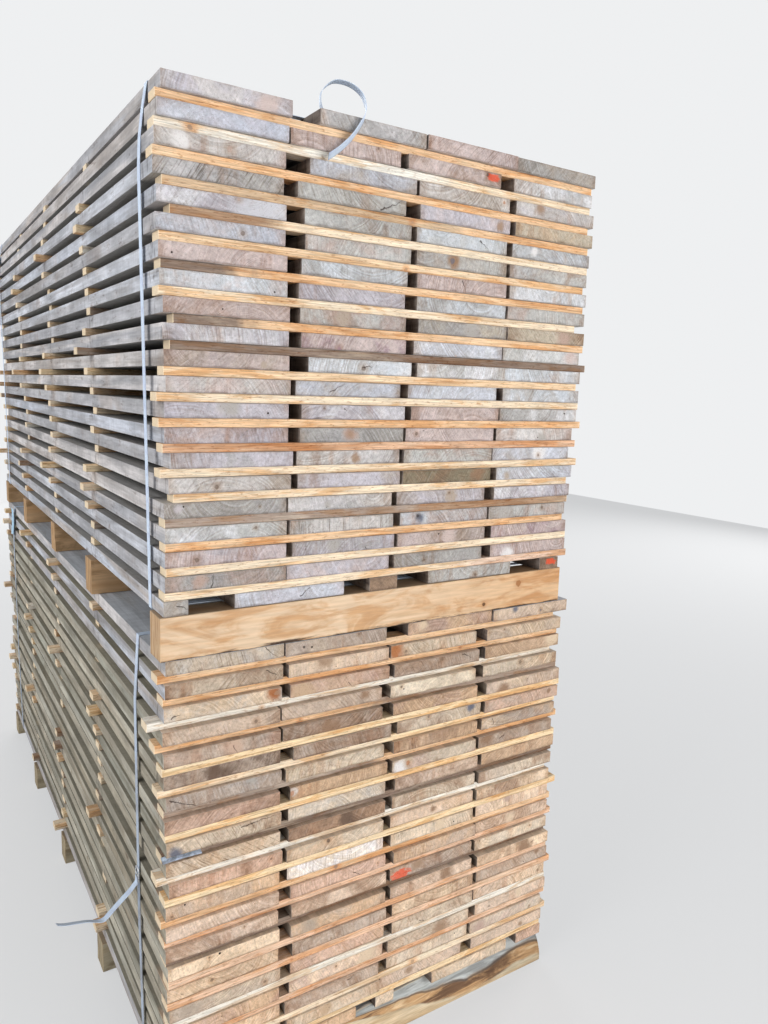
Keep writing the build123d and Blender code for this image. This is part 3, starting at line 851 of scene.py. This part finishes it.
def sticker_recipe(make):
    """Lath wood: two tones that meet along the length, long grain with deep and pale stretches, fine
    splinters, a painted contact shadow along the foot, flecks, a knot, pale cut ends and a painted
    highlight on the edges."""
    where, own, legs = make.places()
    grain = make.use(long_grain, Point=own, Stretch=(3.4, 74, 74))
    fibres = grain["Fibres"]
    meet = make.plus(legs[0], make.noise(own, 14, 4, 0.65), 0.16)
    meet = make.sum("SUBTRACT", meet, make.fact("turn_at", True))
    make.colour = make.blend((meet, 0.03, 0.12), make.fact("tone"), make.fact("tone_right"))
    far = make.streaks(own, (5, 30, 30), 5, 0.65, 0.5)
    make.tint((far, 0.5, 0.6, 0, 0.9), (0.88, 0.7, 0.52))
    make.tint((far, 0.48, 0.34, 0, 0.6), (0.7, 0.75, 0.8), (0.27, 0.23, 0.17))
    make.tint((grain["Bands"], 0.5, 0.66, 0, 0.8), (0.74, 0.6, 0.46))
    make.shaded(fibres, 0.3, 0.7, 0.8, 1.16)
    make.shaded(make.streaks(own, (14, 420, 420), 2, 0.6), 0.36, 0.62, 0.84, 1.06)
    # Darker along the foot: a painted contact shadow where the lath meets the board below.
    foot_shade = make.plus(legs[2], make.streaks(own, (9, 30, 30), 4, 0.6), 0.012)
    make.tint((foot_shade, 0.0005, -0.0045, 0, 0.6), (0.62, 0.5, 0.4))
    fleck = make.ramp(make.streaks(own, (60, 260, 260), 3, 0.7), 0.56, 0.66, 0, 0.75)
    make.tint(fleck, (0.6, 0.46, 0.36))
    knot = make.mark(where, "knot", 1.2)
    make.tint((knot["Distance"], 4.5, 1, 0, 0.75), (0.85, 0.6, 0.42))
    make.cover(make.times(knot["Mask"], 0.7), make.fact("knot_tone"))
    cut_end = make.over(make.size(legs[0]), make.fact("reach", True))
    tip = make.lit(shade(242, 222, 190), (fibres, 0.2, 0.8, 0.8, 1))
    make.cover(make.times(cut_end, 0.85), tip)
    # Lighter edges: a painted highlight.
    make.edge_highlight(0.3, make.lit(make.colour, 1.3))
    return *make.surface(grain, 0.64, 0.8, 0.5), 0.0011


lath_wood = finish_of("sticker_wood", sticker_recipe)
LATHS = tones_from("""
orange 229 191 151   light_orange 232 202 166   cream 236 216 188   white 234 228 216
tan 206 178 146   brown 168 136 108   dark 136 117 103   grey 166 148 134   pink 222 192 170
red 214 174 142   salmon 227 190 160   yellow 239 213 173
""")
# Front laths from the top one down: tone, or two tones and where they meet, from the middle (mm).
FRONT_LATHS = {
    "upper": "orange, white cream 100, orange, tan orange 150, brown cream -320, light_orange, "
             "dark orange -392, cream, dark orange -390, dark, light_orange, cream, orange, red, "
             "cream, cream, grey brown 60, orange, cream, cream pink 200",
    "lower": "orange, orange, white, orange grey -40, yellow, cream yellow 0, grey orange -40, "
             "yellow, dark, white, yellow, orange, salmon, dark, salmon, salmon, white, salmon, "
             "cream, yellow",
}
LAYER_PITCH = 0.05
NEVER = 9.0


def lath_facts(bundle, low, high):
    """Front laths as listed, the others from a fixed draw of usual tones."""
    pick = np.random.default_rng({"upper": 50, "lower": 55}[bundle])
    usual = "light_orange cream cream white tan yellow cream grey tan yellow".split()
    listed = FRONT_LATHS[bundle].split(", ")
    front = low[:, 1] < NEAR
    rows = []
    for number in range(len(low)):
        line = int(round((high[front, 2].max() - high[number, 2]) / LAYER_PITCH))
        words = listed[line].split() if front[number] else [pick.choice(usual)]
        tone, right, meet = words if len(words) > 1 else (words[0], words[0], NEVER * 1000)
        rows.append({
            "tone": LATHS[tone], "tone_right": LATHS[right], "turn_at": float(meet) / 1000,
            "drift": pick.uniform(-9, 9, 3),
            "knot": (pick.uniform(-0.5, 0.5), pick.uniform(-0.005, 0.005),
                     max(0, pick.uniform(-0.012, 0.006))),
            "knot_tone": LATHS[pick.choice(["red", "brown", "dark"])],
            "reach": (high[number, 0] - low[number, 0]) / 2 - CUT_STRIP,
        })
    return {key: [row[key] for row in rows] for key in rows[0]}


for bundle in ("lower", "upper"):
    sawn(bundle + "_stickers", (26, 4, 4), 0.0008, 0.0005, [lath_wood],
         lambda low, high: lath_facts(bundle, low, high), 1)

# Two flat polyester straps go round each bundle, near the front and near the back. The woven band
# is 19 mm wide, with fine cords along it; the loose ends stand off in a loop above and at the side.

CORD_PITCH = 0.0016
cords, make, given, out = shared_effect(
    "strap_cords", "Across Point:Vector Grime", "Tone:Color Height Gloss")
cord = make.plus(0.5, make.sum("SINE", make.times(given["Across"], 2 * np.pi / CORD_PITCH)), 0.5)
wear = make.noise(given["Point"], 38, 4, 0.65)
tone = make.blend((wear, 0.42, 0.68), shade(214, 230, 248), shade(200, 212, 236))
grime = make.ramp(make.noise(given["Point"], 9, 4, 0.65), 0.42, 0.66, 0.15, 0.85)
tone = make.blend(make.times(given["Grime"], 0.55), tone, shade(160, 176, 196))
tone = make.blend(make.times(grime, given["Grime"]), tone, shade(148, 150, 154))
make.put(out["Tone"], make.lit(tone, (cord, 0, 1, 0.86, 1.05)))
make.put(out["Height"], make.plus(cord, wear, 0.3))
make.put(out["Gloss"], (wear, 0.3, 0.7, 0.38, 0.55))


def band(make, point, across, grime):
    """The woven band with its cords side by side along the given number."""
    woven = make.use(cords, Across=across, Point=point, Grime=grime)
    make.colour = woven["Tone"]
    return woven["Gloss"], woven["Height"], 0.0003


def strap_recipe(make):
    """The band round a bundle, square to Y and grimier lower down."""
    point = make.node("TexCoord").outputs["Object"]
    legs = make.legs(point)
    return band(make, point, legs[1], (legs[2], 1.25, 0.7))


def tail_recipe(make):
    """A loose end: the mesh carries its own places and grime; a grimy one has dark patches."""
    where, grime = make.fact("where"), make.fact("grime", True)
    surface = band(make, where, make.legs(where)[1], grime)
    patch = make.times((make.noise(where, 60, 3, 0.6), 0.46, 0.6), grime, make.over(grime, 0.5))
    make.cover(patch, shade(104, 106, 112))
    return surface


strap_band = finish_of("strap_band", strap_recipe)
tail_band = finish_of("strap_tail_band", tail_recipe)
for node in ("upper_near_strap", "upper_far_strap", "lower_near_strap", "lower_far_strap"):
    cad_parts[node].data.materials.clear()
    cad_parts[node].data.materials.append(strap_band)


def smooth_line(points, steps):
    """A curve through the points: between two of them a cubic whose slopes are half the chord of
    the neighbours on both sides."""
    ends = np.concatenate([[2 * points[0] - points[1]], points, [2 * points[-1] - points[-2]]])
    at = np.linspace(0, len(points) - 1 - 1e-9, steps)
    i = at.astype(int)
    t = (at - i)[:, None]
    a, b, c, d = (ends[i + k] for k in range(4))
    bend, twist = 2 * a - 5 * b + 4 * c - d, 3 * b - a - 3 * c + d
    return 0.5 * (2 * b + (c - a) * t + bend * t**2 + twist * t**3)


def strip(node, middle, turns, grime=0.3):
    """A flat strap 19 mm wide and 1 mm thick carried along a line. The way across starts along Y,
    square to the line, and is turned about it; the section is a flat oval with full, rounded edges."""
    level = np.array((0.0, 1.0, 0.0))
    along = np.gradient(middle, axis=0)
    along /= np.linalg.norm(along, axis=1)[:, None]
    across = level - along * (along @ level)[:, None]
    across /= np.linalg.norm(across, axis=1)[:, None]
    out = np.cross(along, across)
    turn = np.radians(turns)[:, None]
    across, out = across * np.cos(turn) + out * np.sin(turn), out * np.cos(turn) - across * np.sin(turn)
    u = np.array([-9.5, -9.1, -4.5, 0, 4.5, 9.1, 9.5, 9.1, 4.5, 0, -4.5, -9.1]) / 1000
    v = np.array([0, -0.5, -0.5, -0.5, -0.5, -0.5, 0, 0.5, 0.5, 0.5, 0.5, 0.5]) / 1000
    rings = middle[:, None] + across[:, None] * u[:, None] + out[:, None] * v[:, None]
    length = np.concatenate([[0], np.linalg.norm(np.diff(middle, axis=0), axis=1).cumsum()])[:, None]
    where = np.stack([length + 0 * u, 0 * length + u, 0 * length + v], -1)
    piece = closed_tube(node + "_woven", rings, tail_band, {"where": where, "grime": 0 * where + grime},
                        flip=True)
    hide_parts(node)


# The same middle lines as the part's own tails, in millimetres, with the turn as the last number.
TOP_TAIL = np.array([
    (464, 0, 5.6, 0), (447, -1, 5.5, 0), (430, -3, 5.8, 0), (402, -8, 9, -4), (376, -18, 18, -12),
    (363, -30, 40, -20), (365, -42, 56, -14), (383, -56, 69, -8), (411, -70, 65, 0), (432, -82, 48, 10),
    (438, -93, 22, 22), (433, -100, 2, 28), (423, -103, -16, 34), (401, -106, -47, 36),
    (372, -109, -76, 38), (342, -112, -99, 38),
])
SIDE_TAIL = np.array([
    (4.4, 14, 0), (4.4, 6, 0), (5.2, -1, 0), (11, -8, 0), (21, -19, 0), (35, -31, 0), (50, -44, 0),
    (63, -56, 0), (73, -65, 0), (80, -70.5, 2), (89, -71, 8), (101, -67.5, 14), (120, -61, 16),
    (145, -56, 16), (166, -52, 16), (182, -46, 16),
])
STEPS = 120
# Metres: the bundles' left face, the height of the strap on top and of the buckle at the side.
LEFT_FACE = -0.56
TOP_START = 2.248
SIDE_START = 0.517
near_low, near_high = corners("upper_near_strap")
origin = np.array([LEFT_FACE, (near_low[1] + near_high[1]) / 2, TOP_START])
line = smooth_line(np.concatenate([TOP_TAIL[:, :3] / 1000, TOP_TAIL[:, 3:]], 1), STEPS)
strip("upper_strap_tail", origin + line[:, :3], line[:, 3])
buckle_low, buckle_high = corners("lower_buckle")
foot_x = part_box("lower_strap_tail")[1][0] + 0.0039
origin = np.array([foot_x, (buckle_low[1] + buckle_high[1]) / 2, SIDE_START])
out_by, up_by, turns = SIDE_TAIL.T
line = smooth_line(np.stack([-out_by / 1000, 0 * out_by, up_by / 1000, turns], 1), STEPS)
strip("lower_strap_tail", origin + line[:, :3], line[:, 3])

# The cut piece is arched: its height falls off with the square of the distance from its middle.
ARCH = 0.0014
offcut_low, offcut_high = corners("strap_offcut")
share = np.linspace(0, 1, 30)
centre = (offcut_low + offcut_high) / 2
line = np.stack([offcut_low[0] + share * (offcut_high[0] - offcut_low[0]), 0 * share + centre[1],
                 centre[2] + ARCH / 2 - ARCH * (2 * share - 1) ** 2], 1)
strip("strap_offcut", line, turns=18 + 0 * share, grime=0.55)

# A buckle of bent steel wire joins the ends of each near strap: a loop with rounded corners and
# one bar across its middle. It is bright zinc with duller and darker places.


def steel_recipe(make):
    """Zinc-plated wire: bright, with cloudy darker places and a fine drawn grain."""
    point = make.node("TexCoord").outputs["Object"]
    cloud = make.noise(point, 160, 4, 0.6)
    make.colour = make.blend((cloud, 0.4, 0.65), shade(222, 224, 226), shade(160, 162, 164))
    return (cloud, 0.3, 0.7, 0.3, 0.5), make.noise(point, 700), 0.0002


wire_steel = finish_of("buckle_steel", steel_recipe)
wire_steel.node_tree.nodes["Principled BSDF"].inputs["Metallic"].default_value = 0.85
CORNER_POWER = 4.5


def wire_buckle(node):
    """Round wire carried round a rectangle with rounded corners (an oval of cosine and sine with a
    high power) and straight across its middle, in the plane of the CAD buckle: its thin side is the
    wire."""
    low, high = corners(node)
    size = high - low
    thin, wide, tall = np.argsort(size)
    axes = np.eye(3)
    middle = (low + high) / 2
    radius = size[thin] / 2
    a = np.linspace(0, 2 * np.pi, 64, endpoint=False)
    bend = (np.abs(np.cos(a)) ** CORNER_POWER + np.abs(np.sin(a)) ** CORNER_POWER) ** (1 / CORNER_POWER)
    x = np.cos(a) / bend * (size[wide] / 2 - radius)
    y = np.sin(a) / bend * (size[tall] / 2 - radius)
    path = middle + x[:, None] * axes[wide] + y[:, None] * axes[tall]
    along = np.roll(path, -1, 0) - np.roll(path, 1, 0)
    along /= np.linalg.norm(along, axis=1)[:, None]
    side = np.cross(along, axes[thin])
    q = np.linspace(0, 2 * np.pi, 12, endpoint=False)[:, None]
    loop = path[:, None] + radius * (np.cos(q) * side[:, None] + np.sin(q) * axes[thin])
    n, m = loop.shape[:2]
    i, j = np.arange(n)[:, None], np.arange(m)
    after, beside = (i + 1) % n * m, (j + 1) % m
    faces = np.stack([i * m + j, after + j, after + beside, i * m + beside], -1).reshape(-1, 4)
    ring = new_object(node + "_loop", loop.reshape(-1, 3), faces[:, ::-1].tolist(), [wire_steel], {},
                      smooth=True)
    reach = np.linspace(-1, 1, 8) * (size[wide] / 2 - radius)
    bar = middle + reach[:, None] * axes[wide]
    spin = np.cross(axes[wide], axes[thin])
    tube = bar[:, None] + radius * 0.96 * (np.cos(q) * spin + np.sin(q) * axes[thin])
    rod = closed_tube(node + "_bar", tube, wire_steel, {}, flip=True)
    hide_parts(node)


wire_buckle("upper_buckle")
wire_buckle("lower_buckle")

# Label tags of light blue coated card hang flat outside the far straps, plain here, with lower
# corners that lift a little from the strap and a paler, scuffed rim.


def tag_recipe(make):
    """Light blue card with a paler scuffed rim and faint creases."""
    scuff = make.noise(make.fact("where"), 55, 4, 0.65)
    make.colour = make.blend((scuff, 0.45, 0.7), shade(158, 200, 228), shade(186, 214, 232))
    make.cover(make.times(make.fact("rim", True), 0.6), shade(220, 230, 236))
    return (scuff, 0.3, 0.7, 0.45, 0.62), scuff, 0.0004


tag_card = finish_of("tag_card", tag_recipe)
# A corner stands off by the square of its distance from the middle line times the square of its
# distance from the upper edge; towards both edges the card also bows back a little.
LIFT = 0.005
BOW = 0.0012
for node in ("upper_tag", "lower_tag"):
    low, high = corners(node)
    counts = (1, 10, 18)
    place, faces, _ = box_skin(counts)
    share = place / np.array(counts)
    points = low + share * (high - low)
    lift = np.abs(2 * share[:, 1] - 1) ** 2 * (1 - share[:, 2]) ** 2
    points[:, 0] -= LIFT * lift + BOW * (1 - np.sin(np.pi * share[:, 2]))
    rim = ((np.abs(share[:, 1:] - 0.5) > 0.49).any(1)) * 1.0
    tag = new_object(node + "_card", points, faces.tolist(), [tag_card],
                     {"where": points - (low + high) / 2, "rim": rim})
    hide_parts(node)

# Camera, floor and light: the camera stands where the photograph was taken, to the left of the
# front and at eye height. Soft light comes from all round and from large panels.


def placed(name, data, *columns):
    """Object turned to the given right, up and back directions and set at a place."""
    thing = bpy.data.objects.new(name, data)
    bpy.context.scene.collection.objects.link(thing)
    pose = np.eye(4)
    pose[:3, :4] = np.stack(columns, 1)
    thing.matrix_world = Matrix(pose.tolist())
    return thing


yaw, pitch, roll = np.radians([32.541, 8.89, 1.864])
ahead = np.array([np.sin(yaw) * np.cos(pitch), np.cos(yaw) * np.cos(pitch), -np.sin(pitch)])
right = np.array([np.cos(yaw), -np.sin(yaw), 0])
up = np.cross(right, ahead)
right, up = np.cos(roll) * right + np.sin(roll) * up, np.cos(roll) * up - np.sin(roll) * right
camera = placed("camera", bpy.data.cameras.new("camera"), right, up, -ahead,
                (-1.00275, -2.72555, 1.68255))
camera.data.lens = 27.289
camera.data.clip_end = 60
bpy.context.scene.camera = camera

floor_mesh = bpy.data.meshes.new("floor")
reach, sunk = 9, -0.0005
floor_mesh.from_pydata([(-reach, -reach, sunk), (reach, -reach, sunk), (reach, reach, sunk),
                        (-reach, reach, sunk)], [], [(0, 1, 2, 3)])
floor_colour = bpy.data.materials.new("floor")
floor_colour.use_nodes = True
nodes = floor_colour.node_tree.nodes
ground = Recipe(floor_colour.node_tree)
matt = nodes["Principled BSDF"]
ground.put(matt.inputs["Base Color"], (0.7, 0.7, 0.7))
ground.put(matt.inputs["Roughness"], 0.9)
pale_glow = ground.node("Emission", (0.8, 0.81, 0.82), 1)
share = ground.times(ground.seen(), 0.62)
either = ground.node("MixShader", share, matt.outputs[0], pale_glow.outputs[0])
ground.put(nodes["Material Output"].inputs[0], either.outputs[0])
floor_mesh.materials.append(floor_colour)
floor = bpy.data.objects.new("floor", floor_mesh)
bpy.context.scene.collection.objects.link(floor)


def panel(name, place, target, size, strength):
    """Large soft lamp that faces a point."""
    back = np.array(place, float) - target
    back /= np.linalg.norm(back)
    side = np.cross((0, 0, 1), back)
    side /= np.linalg.norm(side)
    lamp = placed(name, bpy.data.lights.new(name, "AREA"), side, np.cross(back, side), back, place)
    lamp.data.size = size
    lamp.data.energy = strength


panel("front_panel", (1.6, -9.0, 1.9), (0, 0, 1.0), 5, 585)
panel("left_panel", (-6.5, -1.0, 4.2), (0, 0, 1.1), 6, 345)
panel("back_panel", (2.0, 8.5, 3.4), (0, 0, 1.0), 5, 330)
panel("right_panel", (8.0, 1.5, 3.6), (0, 0, 1.0), 5, 260)
world = bpy.data.worlds.new("soft_room")
bpy.context.scene.world = world
world.use_nodes = True
nodes = world.node_tree.nodes
room = Recipe(world.node_tree)
room.put(nodes["Background"].inputs[0], (0.93, 0.95, 1.0))
room.put(nodes["Background"].inputs[1], 0.3)
pale_wall = room.node("Background", (0.86, 0.87, 0.88), 1)
either = room.node("MixShader", room.seen(), nodes["Background"].outputs[0], pale_wall.outputs[0])
room.put(nodes["World Output"].inputs[0], either.outputs[0])
bpy.context.scene.view_settings.view_transform = "Standard"
